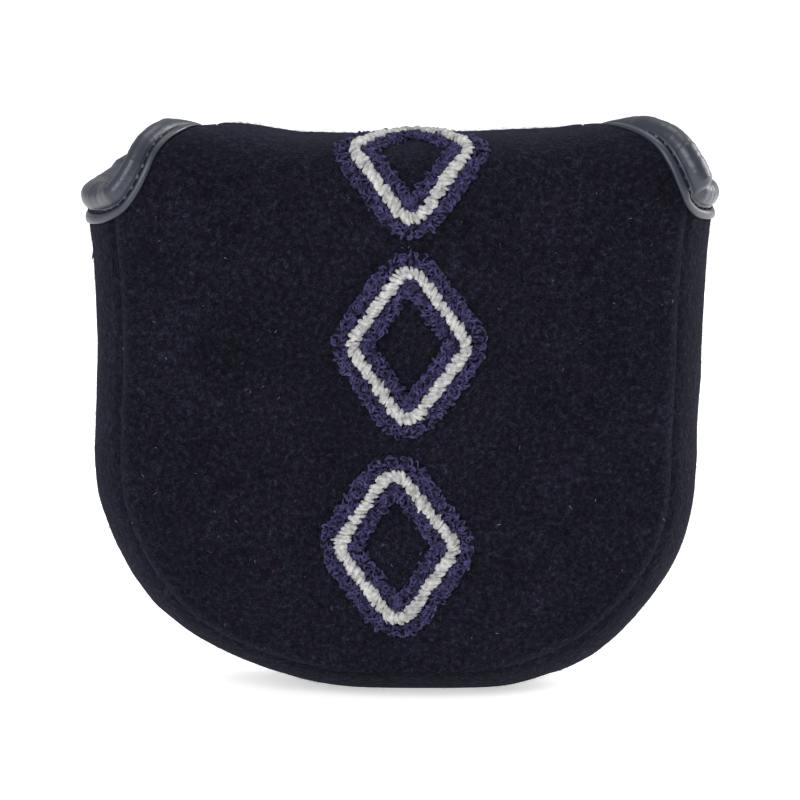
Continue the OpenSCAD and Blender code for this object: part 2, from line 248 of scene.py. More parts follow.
class Pile:
    """Many small meshes gathered into one."""

    def __init__(self):
        self.verts, self.faces, self.count = [], [], 0

    def add(self, verts, faces):
        self.verts.append(np.asarray(verts, float))
        self.faces.extend([[int(i) + self.count for i in f] for f in faces])
        self.count += len(verts)

    def build(self, name, material, smooth_shade=True):
        return build(name, np.concatenate(self.verts), self.faces, material, smooth_shade)


def in_polygon(points, border):
    found = np.zeros(len(points), bool)
    a, b = border, np.roll(border, -1, axis=0)
    for (x0, y0), (x1, y1) in zip(a, b):
        if y0 == y1:
            continue
        crossing = (points[:, 1] < y0) != (points[:, 1] < y1)
        at = x0 + (points[:, 1] - y0) * (x1 - x0) / (y1 - y0)
        found ^= crossing & (points[:, 0] < at)
    return found


def fill(border, spacing):
    """Triangles over a flat outline: (points, triangles)."""
    border = np.asarray(border, float)
    low, high = border.min(0), border.max(0)
    rows = np.arange(low[1], high[1], spacing * 0.866)
    lattice = []
    for number, y in enumerate(rows):
        x = np.arange(low[0] + (number % 2) * spacing / 2, high[0], spacing)
        lattice.append(np.stack([x, np.full_like(x, y)], 1))
    lattice = np.concatenate(lattice)
    lattice = lattice[in_polygon(lattice, border)]
    tree = KDTree(len(border))
    for number, p in enumerate(border):
        tree.insert((p[0], p[1], 0), number)
    tree.balance()
    far = [tree.find((p[0], p[1], 0))[2] > spacing * 0.55 for p in lattice]
    points = np.concatenate([border, lattice[np.array(far, bool)]])
    made = delaunay_2d_cdt([Vector(p) for p in points], [], [list(range(len(border)))], 1, 1e-6)
    flat = np.array([tuple(v) for v in made[0]], float)
    triangles = np.array(made[2], int)
    used = np.unique(triangles)
    index = np.full(len(flat), -1)
    index[used] = np.arange(len(used))
    return flat[used], index[triangles]


def shell(outer, inner, faces):
    """A closed sheet: two skins and a wall of its own points along the border."""
    count = len(outer)
    faces = [tuple(int(i) for i in f) for f in faces]
    edges = {}
    for f in faces:
        for a, b in zip(f, f[1:] + f[:1]):
            edges[(a, b)] = True
    rim = [(a, b) for a, b in edges if (b, a) not in edges]
    named = {}
    for a, b in rim:
        named.setdefault(a, len(named))
        named.setdefault(b, len(named))
    order = sorted(named, key=named.get)
    verts = np.concatenate([outer, inner, outer[order], inner[order]])
    first, second = 2 * count, 2 * count + len(order)
    walls = [(first + named[b], first + named[a], second + named[a], second + named[b]) for a, b in rim]
    return verts, faces + [tuple(i + count for i in f[::-1]) for f in faces] + walls


def ripple(points, scale, size):
    return np.array([noise.noise(Vector(p) / scale) for p in points])[:, None] * size


# ---------------------------------------------------------------- materials


class Shader:
    def __init__(self, name):
        self.material = bpy.data.materials.new(name)
        self.material.use_nodes = True
        self.tree = self.material.node_tree
        self.bsdf = self.tree.nodes["Principled BSDF"]

    def node(self, kind, inputs=None, **settings):
        n = self.tree.nodes.new(kind)
        for key, value in settings.items():
            setattr(n, key, value)
        for key, value in (inputs or {}).items():
            self.put(n.inputs[key], value)
        return n

    def put(self, socket, value):
        if isinstance(value, bpy.types.NodeSocket):
            self.tree.links.new(value, socket)
        else:
            socket.default_value = value

    def set(self, **values):
        for key, value in values.items():
            self.put(self.bsdf.inputs[key.replace("_", " ")], value)

    def coords(self, scale=(1, 1, 1), turn=(0, 0, 0), bent=None):
        source = bent or self.node("ShaderNodeTexCoord").outputs["Object"]
        inputs = {"Vector": source, "Scale": scale, "Rotation": turn}
        return self.node("ShaderNodeMapping", inputs).outputs["Vector"]

    def noise(self, scale, detail=3.0, rough=0.5, vector=None, distortion=0.0):
        inputs = {
            "Vector": vector or self.coords(),
            "Scale": scale,
            "Detail": detail,
            "Roughness": rough,
            "Distortion": distortion,
        }
        return self.node("ShaderNodeTexNoise", inputs).outputs["Fac"]

    def cells(self, scale, vector=None, feature="F1"):
        inputs = {"Vector": vector or self.coords(), "Scale": scale}
        return self.node("ShaderNodeTexVoronoi", inputs, feature=feature).outputs["Distance"]

    def math(self, operation, a, b=0.5, c=0.5):
        return self.node("ShaderNodeMath", {0: a, 1: b, 2: c}, operation=operation).outputs[0]

    def ramp(self, value, *stops):
        n = self.node("ShaderNodeValToRGB", {"Fac": value})
        ramp = n.color_ramp
        while len(ramp.elements) < len(stops):
            ramp.elements.new(0.5)
        for element, (place, colour) in zip(ramp.elements, stops):
            element.position = place
            element.color = (*colour, 1) if hasattr(colour, "__len__") else (colour, colour, colour, 1)
        return n.outputs["Color"]

    def mix(self, share, a, b):
        n = self.node("ShaderNodeMix", data_type="RGBA")
        for socket, value in zip((n.inputs[0], n.inputs[6], n.inputs[7]), (share, a, b)):
            self.put(socket, (*value, 1) if hasattr(value, "__len__") and len(value) == 3 else value)
        return n.outputs[2]

    def bump(self, height, distance, strength=1.0):
        inputs = {"Height": height, "Distance": distance * MM, "Strength": strength}
        self.set(Normal=self.node("ShaderNodeBump", inputs).outputs["Normal"])
        return self.material


FIBRE_WAYS = ((0.8, 0.3, 0.5), (-0.5, 0.6, 0.7), (0.2, -0.7, 0.75))


def fibre_field(sh, size, stretch=4.5):
    """Short felted fibres in three directions, about size millimetres across."""
    warp = sh.node("ShaderNodeTexNoise", {"Vector": sh.coords(), "Scale": 380.0, "Detail": 2.0}).outputs["Color"]
    inputs = {0: warp, 1: (0.0024, 0.0024, 0.0024), 2: sh.coords()}
    bent = sh.node("ShaderNodeVectorMath", inputs, operation="MULTIPLY_ADD").outputs[0]
    fields = []
    for way in FIBRE_WAYS:
        turn = Vector((1, 0, 0)).rotation_difference(Vector(way)).to_euler()
        inputs = {"Vector": bent, "Rotation": turn, "Scale": (stretch, 1.0, 1.0)}
        vector = sh.node("ShaderNodeMapping", inputs, vector_type="TEXTURE").outputs["Vector"]
        fields.append(sh.noise(1 / (size * MM), 2.0, 0.6, vector))
    return sh.math("MAXIMUM", sh.math("MAXIMUM", fields[0], fields[1]), fields[2])


def felt_material(name, dark, light, glint):
    sh = Shader(name)
    fibres = fibre_field(sh, 0.42)
    hairs = fibre_field(sh, 0.2, 7.0)
    clumps = sh.noise(900.0, 3.0, 0.6)
    patches = sh.noise(60.0, 4.0, 0.6)
    tone = sh.math("MULTIPLY_ADD", clumps, 0.4, sh.math("MULTIPLY", fibres, 0.45))
    tone = sh.math("MULTIPLY_ADD", hairs, 0.35, tone)
    colour = sh.ramp(tone, (0.58, dark), (0.70, light), (0.80, glint))
    shade = sh.ramp(patches, (0.3, 0.7), (0.7, 1.2))
    mixed = sh.node("ShaderNodeMix", data_type="RGBA", blend_type="MULTIPLY")
    for index, value in ((0, 1.0), (6, colour), (7, shade)):
        sh.put(mixed.inputs[index], value)
    sh.set(Base_Color=mixed.outputs[2], Roughness=0.95)
    sh.set(Sheen_Weight=0.05, Sheen_Roughness=0.4, Sheen_Tint=(0.5, 0.55, 0.85, 1))
    sh.set(Specular_IOR_Level=0.05)
    height = sh.math("MULTIPLY_ADD", fibres, 0.7, clumps)
    return sh.bump(sh.math("MULTIPLY_ADD", hairs, 0.5, height), 0.6)


def leather_material():
    sh = Shader("leather")
    grain = sh.cells(1500.0, sh.coords((1, 1, 1)), "DISTANCE_TO_EDGE")
    grain = sh.ramp(grain, (0.0, 0.0), (0.22, 1.0))
    creases = sh.noise(700.0, 4.0, 0.6, sh.coords((1.0, 0.5, 0.35), (0.2, 0.6, 0.0)), 0.6)
    cloud = sh.noise(120.0, 3.0, 0.5)
    sh.set(Base_Color=sh.ramp(cloud, (0.3, (0.008, 0.011, 0.021)), (0.7, (0.018, 0.023, 0.040))))
    rough = sh.math("MULTIPLY_ADD", cloud, 0.22, 0.30)
    sh.set(Roughness=rough, Specular_IOR_Level=0.5, Coat_Weight=0.1, Coat_Roughness=0.3)
    height = sh.math("MULTIPLY_ADD", grain, 0.22, sh.math("MULTIPLY", creases, 0.5))
    return sh.bump(height, 0.06)


def yarn_material(name, dark, light, sheen, tint, scale=900.0):
    sh = Shader(name)
    strands = sh.noise(scale, 3.0, 0.6)
    broad = sh.noise(650.0, 2.0, 0.6)
    tone = sh.math("MULTIPLY_ADD", strands, 0.55, sh.math("MULTIPLY", broad, 0.6))
    sh.set(Base_Color=sh.ramp(tone, (0.42, dark), (0.74, light)), Roughness=0.9)
    sh.set(Sheen_Weight=sheen, Sheen_Roughness=0.5, Sheen_Tint=(*tint, 1), Specular_IOR_Level=0.15)
    fine = sh.noise(2600.0, 2.0, 0.6)
    return sh.bump(sh.math("MULTIPLY_ADD", fine, 0.4, strands), 0.22)


def lining_material():
    sh = Shader("lining")
    pile = sh.noise(850.0, 3.0, 0.65)
    broad = sh.noise(70.0, 2.0, 0.5)
    tone = sh.math("MULTIPLY_ADD", pile, 0.7, sh.math("MULTIPLY", broad, 0.35))
    sh.set(Base_Color=sh.ramp(tone, (0.35, (0.012, 0.014, 0.026)), (0.75, (0.05, 0.056, 0.10))))
    sh.set(Roughness=0.95, Sheen_Weight=0.4, Sheen_Roughness=0.5, Sheen_Tint=(0.5, 0.55, 0.8, 1))
    return sh.bump(pile, 0.6)


def thread_material(name="thread", dark=(0.003, 0.003, 0.007), light=(0.010, 0.011, 0.021)):
    sh = Shader(name)
    twist = sh.noise(2400.0, 2.0, 0.5, sh.coords((1.0, 0.4, 1.0), (0.4, 0.5, 0.3)))
    sh.set(Base_Color=sh.ramp(twist, (0.3, dark), (0.7, light)))
    sh.set(Roughness=0.8, Specular_IOR_Level=0.15)
    return sh.bump(twist, 0.1)


def board_material():
    sh = Shader("board")
    fleck = sh.noise(900.0, 4.0, 0.6)
    sh.set(Base_Color=sh.ramp(fleck, (0.3, (0.40, 0.39, 0.36)), (0.7, (0.58, 0.57, 0.54))))
    sh.set(Roughness=sh.math("MULTIPLY_ADD", fleck, 0.2, 0.6))
    return sh.bump(fleck, 0.05)


def magnet_material():
    sh = Shader("magnet")
    brushed = sh.noise(900.0, 3.0, 0.5, sh.coords((1.0, 1.0, 0.05)))
    sh.set(Base_Color=sh.ramp(brushed, (0.3, (0.50, 0.51, 0.53)), (0.7, (0.68, 0.69, 0.71))))
    sh.set(Metallic=1.0, Roughness=sh.math("MULTIPLY_ADD", brushed, 0.2, 0.22))
    return sh.bump(brushed, 0.02)


felt = felt_material("felt", (0.0026, 0.0024, 0.0046), (0.0086, 0.0082, 0.0152), (0.025, 0.027, 0.047))
leather = leather_material()
navy_yarn = yarn_material("navy_yarn", (0.003, 0.0025, 0.008), (0.062, 0.055, 0.150), 0.05, (0.5, 0.5, 0.95))
white_yarn = yarn_material("white_yarn", (0.21, 0.208, 0.205), (0.51, 0.506, 0.497), 0.02, (1, 1, 1), 1100.0)
lining = lining_material()
thread = thread_material()
board = board_material()
magnet = magnet_material()
fuzz = yarn_material("fuzz", (0.008, 0.008, 0.016), (0.034, 0.036, 0.066), 0.08, (0.5, 0.6, 0.95))

# ---------------------------------------------------------------- leather routes

# Felt-side edge of each binding: front points are (x, z) with how far they sink under the
# felt, side points are (z, share of the half depth), back points are (x, z)
EAR_RIGHT = {
    "start": [(39.9, 4.6, 1.6), (42.4, 2.9, 0.45)],
    "front": [(46.4, 121.2, 0.1), (50.2, 120.0, 0), (53.4, 117.7, 0), (56.0, 113.8, 0),
              (58.0, 109.2, 0), (59.4, 105.9, 0)],
    "side": [(103.3, -0.88), (102.1, -0.55), (101.8, 0.0), (101.9, 0.5), (102.9, 0.86)],
    "back": [(58.2, 104.4), (54.6, 106.3), (50.3, 107.4), (45.8, 107.6), (41.2, 107.4)],
    "girth": [(0, 1), (0.3, 1), (0.45, 1.06), (0.6, 1.06), (0.7, 1), (1, 1)],
}
EAR_LEFT = {
    "start": [(39.8, 4.0, 1.6), (41.9, 2.2, 0.45)],
    "front": [(45.4, 120.9, 0.1), (48.4, 119.2, 0), (50.6, 116.6, 0), (52.2, 113.0, 0),
              (54.3, 108.8, 0), (57.2, 104.9, 0)],
    "side": [(102.2, -0.9), (101.2, -0.6), (101.0, 0.0), (101.4, 0.5), (102.8, 0.86)],
    "back": [(58.2, 104.4), (54.6, 106.3), (50.3, 107.4), (45.8, 107.6), (41.2, 107.4)],
    "girth": [(0, 1), (0.12, 0.9), (0.25, 0.76), (0.36, 0.84), (0.47, 1.14), (0.6, 1.1), (0.7, 1), (1, 1)],
}


def spline(keys, count):
    """A smooth curve through the keys."""
    keys = np.asarray(keys, float)
    run = np.concatenate([[0], np.cumsum(np.linalg.norm(np.diff(keys, axis=0), axis=1) ** 0.5)])
    slope = np.gradient(keys, run, axis=0)
    at = np.linspace(0, run[-1], count)
    k = np.clip(np.searchsorted(run, at, side="right") - 1, 0, len(run) - 2)
    span = (run[k + 1] - run[k])[:, None]
    t = ((at - run[k])[:, None]) / span
    a, b = keys[k], keys[k + 1]
    ta, tb = slope[k] * span, slope[k + 1] * span
    return (2 * t**3 - 3 * t**2 + 1) * a + (t**3 - 2 * t**2 + t) * ta + (3 * t**2 - 2 * t**3) * b + (t**3 - t**2) * tb


def ear_route(ear, count=300):
    """Points, directions, notch-ward directions and outward normals along a binding."""
    points, normals = [], []
    for x, past, sink in ear["start"]:
        n = normal_of(crown, x, S_CREST + past)
        points.append(crown(x, S_CREST + past) - sink * n)
        normals.append(n)
    for x, z, sink in ear["front"]:
        s = float(height_of(x, min(z, crest(x) - 0.02)))
        n = normal_of(crown, x, s)
        points.append(crown(x, s) - sink * n)
        normals.append(n)
    for z, t in ear["side"]:
        across = HALF_WIDTH + flare(z) - bulge(t)
        slope = SEAM_INSET * BULGE_POWER * abs(t) ** (BULGE_POWER - 1) * np.sign(t) / HALF_DEPTH
        points.append(np.array([across, t * HALF_DEPTH, z]))
        normals.append(unit(np.array([1.0, slope, 0.05])))
    for x, z in ear["back"]:
        points.append(sole(x, z))
        normals.append(np.array([0.0, 1.0, 0.0]))
    fine = spline(np.concatenate([points, normals], 1), 4 * count)
    for _ in range(40):
        fine[1:-1] = (fine[:-2] + 2 * fine[1:-1] + fine[2:]) / 4
    fine = resample_by(fine, count)
    centre, normal = fine[:, :3], unit(fine[:, 3:])
    along = unit(np.gradient(centre, axis=0))
    normal = unit(normal - (normal * along).sum(1, keepdims=True) * along)
    return centre, along, np.cross(normal, along), normal


def resample_by(fine, count):
    steps = np.linalg.norm(np.diff(fine[:, :3], axis=0), axis=1)
    run = np.concatenate([[0], np.cumsum(steps)])
    at = np.linspace(0, run[-1], count)
    return np.stack([np.interp(at, run, fine[:, k]) for k in range(fine.shape[1])], 1)


ears = {"right": ear_route(EAR_RIGHT), "left": ear_route(EAR_LEFT)}


def on_crown(points):
    """The s of the nearest place on the crown felt straight behind or above each point."""
    s = np.linspace(95, S_CREST + 9, 700)
    found = crown(points[:, :1], s[None])
    return s[np.argmin(np.linalg.norm(found - points[:, None], axis=2), axis=1)]


def binding_size(side, run):
    """How thick the binding is along its run: tucked ends, and the sewer's unevenness."""
    ends = (0.22 + 0.78 * smooth(run / 12.0)) * (0.55 + 0.45 * smooth((run[-1] - run) / 6.0))
    stations = np.array((EAR_RIGHT if side == "right" else EAR_LEFT)["girth"])
    return ends * np.interp(run / run[-1], stations[:, 0], stations[:, 1])


def ear_border(side, reach):
    """The front felt's edge under the binding, as (x, s) from the seam to the crest."""
    centre, _, notch, _ = ears[side]
    run = np.concatenate([[0], np.cumsum(np.linalg.norm(np.diff(centre, axis=0), axis=1))])
    p = centre + reach * binding_size(side, run)[:, None] * notch
    front = (np.arange(len(p)) < len(p) * 0.5) & (p[:, 1] < 6)
    front &= inside(p[:, 0], p[:, 2]) > SEAM_INSET + 0.05
    front &= (p[:, 1] > CREST_Y - 3) | (inside(p[:, 0], p[:, 2]) < 30)
    q = p[front][::3]
    return np.stack([q[:, 0], on_crown(q)], 1)[::-1]


# ---------------------------------------------------------------- felt


def simulate(verts, faces, pinned, pressure, frames=18):
    """Puffs a sheet up between its pinned points with cloth, and returns how far it moved."""
    mesh = bpy.data.meshes.new("puff")
    mesh.from_pydata((verts * MM * 10).tolist(), [], [tuple(int(i) for i in f) for f in faces])
    obj = bpy.data.objects.new("puff", mesh)
    scene.collection.objects.link(obj)
    group = obj.vertex_groups.new(name="pin")
    group.add([int(i) for i in np.flatnonzero(pinned)], 1.0, "REPLACE")
    cloth = obj.modifiers.new("cloth", "CLOTH")
    cloth.settings.vertex_group_mass = "pin"
    cloth.settings.quality = 6
    cloth.settings.mass = 0.3
    cloth.settings.tension_stiffness = 12
    cloth.settings.compression_stiffness = 12
    cloth.settings.shear_stiffness = 4
    cloth.settings.bending_stiffness = 0.4
    cloth.settings.shrink_min = -0.012
    cloth.settings.use_pressure = True
    cloth.settings.uniform_pressure_force = pressure
    cloth.settings.effector_weights.gravity = 0
    cloth.collision_settings.use_collision = False
    cloth.point_cache.frame_start = 1
    cloth.point_cache.frame_end = frames
    for number in range(1, frames + 1):
        scene.frame_set(number)
    shaped = obj.evaluated_get(bpy.context.evaluated_depsgraph_get()).to_mesh()
    moved = np.array([v.co for v in shaped.vertices], float) / (MM * 10)
    bpy.data.objects.remove(obj)
    bpy.data.meshes.remove(mesh)
    scene.frame_set(1)
    return moved - verts


class Field:
    """A displacement known at scattered points, read anywhere between them."""

    def __init__(self, places, values):
        self.places, self.values = places, values
        self.tree = KDTree(len(places))
        for number, p in enumerate(places):
            self.tree.insert((p[0], p[1], 0), number)
        self.tree.balance()

    def at(self, u, v):
        u, v = np.broadcast_arrays(np.asarray(u, float), np.asarray(v, float))
        made = np.zeros((u.size, 3))
        for number, (a, b) in enumerate(zip(u.ravel(), v.ravel())):
            near = self.tree.find_n((a, b, 0), 6)
            weight = np.array([1 / (0.15 + n[2] ** 2) for n in near])
            made[number] = (self.values[[n[1] for n in near]] * weight[:, None]).sum(0) / weight.sum()
        return made.reshape(*u.shape, 3)


def puffed(surface, side, border, spacing, pinned_at, pressure, cap):
    """The cloth displacement of a panel, capped, as a Field over its flat outline."""
    flat, triangles = fill(border, spacing)
    verts = surface(flat[:, 0], flat[:, 1])
    faces = triangles if side > 0 else triangles[:, ::-1]
    moved = simulate(verts, faces, pinned_at(flat[:, 0], flat[:, 1]), pressure)
    size = np.linalg.norm(moved, axis=1, keepdims=True)
    scale = cap / max(float(np.percentile(size, 97)), 1e-6)
    moved = moved * min(scale, 1.0)
    size = np.linalg.norm(moved, axis=1, keepdims=True)
    print("cloth", len(verts), "points, moved", round(float(size.max()), 2), "mm")
    return Field(flat, moved * np.minimum(1, cap / np.maximum(size, 1e-6)))


def edge_along(points, spacing):
    return resample(points, spacing)[:-1]


def crown_border(spacing):
    right, left = ear_border("right", 1.2), ear_border("left", 1.2)
    seam = outline(SEAM_INSET, 104.6, spacing)
    seam = seam[(seam[:, 1] < right[0, 1] - 0.4) | (seam[:, 0] < 0)]
    seam = seam[(seam[:, 1] < left[0, 1] - 0.4) | (seam[:, 0] > 0)]
    right = right[(right[:, 1] < SLIT)]
    left = left[(left[:, 1] < SLIT)] * [-1, 1]
    path = [
        right,
        [[np.interp(SLIT, *ear_curve("right")), SLIT], [NECK, SLIT], [NECK, S_MIDDLE]],
        [[-NECK, S_MIDDLE], [-NECK, SLIT], [-np.interp(SLIT, *ear_curve("left")), SLIT]],
        left[::-1],
        seam[::-1],
    ]
    closed = np.concatenate([np.asarray(p, float) for p in path])
    return edge_along(np.concatenate([closed, closed[:1]]), spacing)


def ear_curve(side):
    curve = ear_border(side, 1.2)
    return curve[:, 1], curve[:, 0]


def sheet_piece(name, surface, flat, triangles, side, near, far, material, field=None, rough=0.0):
    """A felt or lining sheet between two depths under a surface."""
    base = surface(flat[:, 0], flat[:, 1])
    n = normal_of(surface, flat[:, 0], flat[:, 1], side)
    if field is not None:
        base = base + field.at(flat[:, 0], flat[:, 1])
    if rough:
        base = base + n * (ripple(base, 5.0, rough) + ripple(base, 1.6, rough * 0.4))
    faces = triangles if side > 0 else triangles[:, ::-1]
    verts, made = shell(base - near * n, base - far * n, faces)
    return build(name, verts, made, material)


def pin_crown(x, s):
    return (inside(x, np.minimum(s, FOLD)) < SEAM_INSET + 2.6) | (s > FOLD + 3) | (
        (np.abs(x) > NECK) & (s > SLIT - 6)
    )


border = crown_border(1.1)
crown_field = puffed(crown, 1.0, edge_along(np.concatenate([border, border[:1]]), 3.0), 3.0, pin_crown, 3.0, 0.8)


def skin(x, s):
    return crown(x, s) + crown_field.at(x, s)


flat, triangles = fill(border, 1.25)
crown_felt = sheet_piece("crown_felt", crown, flat, triangles, 1.0, 0, FELT, felt, crown_field, 0.10)

for side, sign in (("right", 1), ("left", -1)):
    curve = ear_border(side, 1.2)
    curve = curve[curve[:, 1] > SLIT]
    across = np.interp(SLIT, *ear_curve(side))
    loop = np.concatenate([[[NECK, SLIT], [across, SLIT]], curve, [[NECK, S_CREST + 5.5], [NECK, SLIT]]])
    loop = edge_along(loop, 0.9)
    if sign < 0:
        loop = loop[::-1] * [-1, 1]
    flat, triangles = fill(loop, 1.1)
    ear = sheet_piece("ear_felt_" + side, crown, flat, triangles, 1.0, 0, FELT, felt, crown_field, 0.10)
    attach(ear, "pouch")


def half_width(s):
    return NECK + (TAB_HALF - NECK) * smooth((s - S_CREST - 2) / 14)


def tab_loop(shrink, start, end, spacing):
    """Outline of the flap and tab past a start, with rounded lower corners."""
    corner = 12.0 - shrink
    s = np.linspace(start, end - shrink - corner, 40)
    right = np.stack([half_width(s) - shrink, s], 1)
    a = np.linspace(0, math.pi / 2, 16)[1:]
    centre = np.array([TAB_HALF - shrink - corner, end - shrink - corner])
    turn = centre + corner * np.stack([np.cos(a), np.sin(a)], 1)
    half = np.concatenate([right, turn])
    loop = np.concatenate([half, half[::-1] * [-1, 1], half[:1]])
    return edge_along(loop, spacing)


flat, triangles = fill(tab_loop(0, S_MIDDLE, S_END, 1.1), 1.25)
tab_felt = sheet_piece("flap_felt_back", crown, flat, triangles, 1.0, 0, FELT, felt, None, 0.12)

sole_edge = [(57.9, 103.0), (54.4, 105.0), (50.2, 106.1), (45.8, 106.3), (40.3, 106.1), (38.4, 108.5), (38.2, MOUTH_TOP - 1.0)]


def sole_border(spacing):
    seam = outline(SEAM_INSET, 101.5, spacing)
    right = np.asarray(sole_edge, float)
    closed = np.concatenate([seam[::-1], right, right[::-1] * [-1, 1]])
    return edge_along(np.concatenate([closed, closed[:1]]), spacing)


border = sole_border(1.2)
sole_field = puffed(
    sole,
    -1.0,
    edge_along(np.concatenate([border, border[:1]]), 3.2),
    3.2,
    lambda x, z: (inside(x, z) < SEAM_INSET + 2.6) | (z > 100),
    3.0,
    0.7,
)
flat, triangles = fill(border, 1.4)
sole_felt = sheet_piece("sole_felt", sole, flat, triangles, -1.0, 0, FELT, felt, sole_field, 0.12)

# The gusset: a band that bulges between its two seams
rim_outline = outline(0, 104.2, 1.25)
shares = np.sin(np.linspace(-math.pi / 2, math.pi / 2, 37))


def gusset_skin(depth, reach):
    d = unit(np.gradient(rim_outline, axis=0))
    inward = np.stack([d[:, 1], -d[:, 0]], 1)
    inward *= np.where(((rim_outline - [0, 62]) * inward).sum(1) > 0, -1, 1)[:, None]
    rows = []
    for k, p in enumerate(rim_outline):
        at = bulge(shares) + depth
        q = p + inward[k] * at[:, None]
        rows.append(np.stack([q[:, 0], shares * reach, np.maximum(q[:, 1], depth)], 1))
    return np.array(rows)


def gusset_piece(name, near, far, reach, material, rough):
    outer, inner = gusset_skin(near, reach), gusset_skin(far, reach)
    rows, columns = outer.shape[:2]
    outer, inner = outer.reshape(-1, 3), inner.reshape(-1, 3)
    if rough:
        out = unit(outer - inner)
        wave = ripple(outer, 5.0, rough) + ripple(outer, 16.0, rough * 2.2) + ripple(outer, 1.6, rough * 0.4)
        wave *= smooth(outer[:, 2:] / 3)
        outer, inner = outer + out * wave, inner + out * wave
    verts, faces = shell(outer, inner, grid_faces(rows, columns)[:, ::-1])
    return build(name, verts, faces, material)


gusset_felt = gusset_piece("gusset_felt", 0, FELT, HALF_DEPTH, felt, 0.12)

# ---------------------------------------------------------------- inside the pouch


def bag():
    """The fleece bag: front, gusset and back in one closed sheet."""
    depth = 4.9
    u = outline(SEAM_INSET + depth, 101.0, 2.2)
    count = len(u)
    share = np.linspace(0, 1, count)
    mouth_x = np.interp(share, [0, 0.06, 0.16, 0.84, 0.94, 1], [53.3, 50.5, 37.5, -37.5, -50.5, -53.3])
    mouth_front = np.interp(np.abs(mouth_x), [0, 37.5, 46, 50.5, 53.3], [113.6, 113.6, 111.5, 107.5, 101.0])
    mouth_back = np.interp(np.abs(mouth_x), [0, 36, 38.5, 46, 50.5, 53.3], [MOUTH_TOP - 1.6, MOUTH_TOP - 1.6, 106.5, 104.6, 103.5, 101.0])
    rows = []
    front_y, back_y = -(PANEL_OUTER - depth), PANEL_OUTER - depth
    for r in np.linspace(1, 0, 26):
        m = np.stack([mouth_x, mouth_front], 1)
        q = u + (m - u) * r
        rows.append(np.stack([q[:, 0], front_y - swell(q[:, 0], q[:, 1], CROWN_LIFT) * 0.9, q[:, 1]], 1))
    reach = PANEL_OUTER - depth
    for t in np.linspace(-1, 1, 14)[1:-1]:
        grow = SEAM_INSET * (1 - abs(t) ** 2.6)
        ring = outline(SEAM_INSET + depth - grow, 101.0, 2.2)
        ring = resample(ring, 1, count)
        rows.append(np.stack([ring[:, 0], np.full(count, t * reach), ring[:, 1]], 1))
    for r in np.linspace(0, 1, 26):
        m = np.stack([mouth_x, mouth_back], 1)
        q = u + (m - u) * r
        rows.append(np.stack([q[:, 0], back_y + swell(q[:, 0], q[:, 1], SOLE_LIFT) * 0.9, q[:, 1]], 1))
    grid = np.array(rows)
    n = unit(np.cross(np.gradient(grid, axis=1), np.gradient(grid, axis=0)))
    rows_count, columns = grid.shape[:2]
    outer = grid.reshape(-1, 3)
    n = n.reshape(-1, 3)
    out = outer - np.array([0, 0, 62]) * [0, 0, 1]
    if (n[len(n) // 2] * out[len(n) // 2]).sum() < 0:
        n = -n
    soft = outer + n * ripple(outer, 7.0, 0.25)
    inner = soft - n * 0.6
    faces = grid_faces(rows_count, columns)
    a, b, c = soft[faces[len(faces) // 2][:3]]
    if (np.cross(b - a, c - a) * n[faces[len(faces) // 2][0]]).sum() < 0:
        faces = faces[:, ::-1]
    verts, made = shell(soft, inner, faces)
    return build("pouch_lining", verts, made, lining)


pouch_lining = bag()

# ---------------------------------------------------------------- flap layers


def band_loop(half, low, high, spacing):
    return edge_along([[-half, low], [half, low], [half, high], [-half, high], [-half, low]], spacing)


def flap_sheet(name, loop, near, far, material, spacing=2.0):
    flat, triangles = fill(loop, spacing)
    return sheet_piece(name, crown, flat, triangles, 1.0, near, far, material, None, 0.04)


flap_lining_front = flap_sheet(
    "flap_lining_front", band_loop(NECK - 0.35, FOLD + 3.5, S_MIDDLE, 1.6), 1.55, 3.3, lining
)
flap_lining_back = flap_sheet(
    "flap_lining_back", tab_loop(0.35, S_MIDDLE, S_END, 1.5), 1.55, 3.3, lining
)
flap_stiffener = flap_sheet("flap_stiffener", band_loop(TAB_HALF - 2.5, S_CREST - 9, S_CREST + 20, 1.6), 1.75, 2.9, board)
tab_stiffener = flap_sheet("tab_stiffener", tab_loop(3.0, S_BACK + 4.0, S_END, 1.6), 1.75, 2.9, board)

# ---------------------------------------------------------------- leather bindings


def section():
    """One ring of the binding, as (towards the notch, outwards)."""
    strip = [(0.0, 0.02), (0.02, 0.42), (0.16, 0.68), (0.42, 0.82), (0.8, 0.87), (1.2, 0.85), (1.55, 0.72),
             (1.78, 0.44), (1.92, 0.2), (2.1, 0.12), (2.3, 0.24)]
    a = np.radians(np.linspace(152, -128, 30))
    roll = np.stack([5.05 + 2.9 * np.cos(a), -1.45 + 3.35 * np.sin(a)], 1)
    leg = [(2.2, -4.35), (1.4, -4.2), (0.9, -4.0), (0.7, -3.7), (1.1, -3.4), (1.9, -3.3), (2.2, -2.4), (2.1, -0.9),
           (1.5, -0.3), (0.5, -0.15)]
    return np.concatenate([strip, roll, leg])


SECTION = section()
IN_ROLL = np.zeros(len(SECTION))
IN_ROLL[11:41] = np.sin(np.linspace(0, math.pi, 30)) ** 0.5


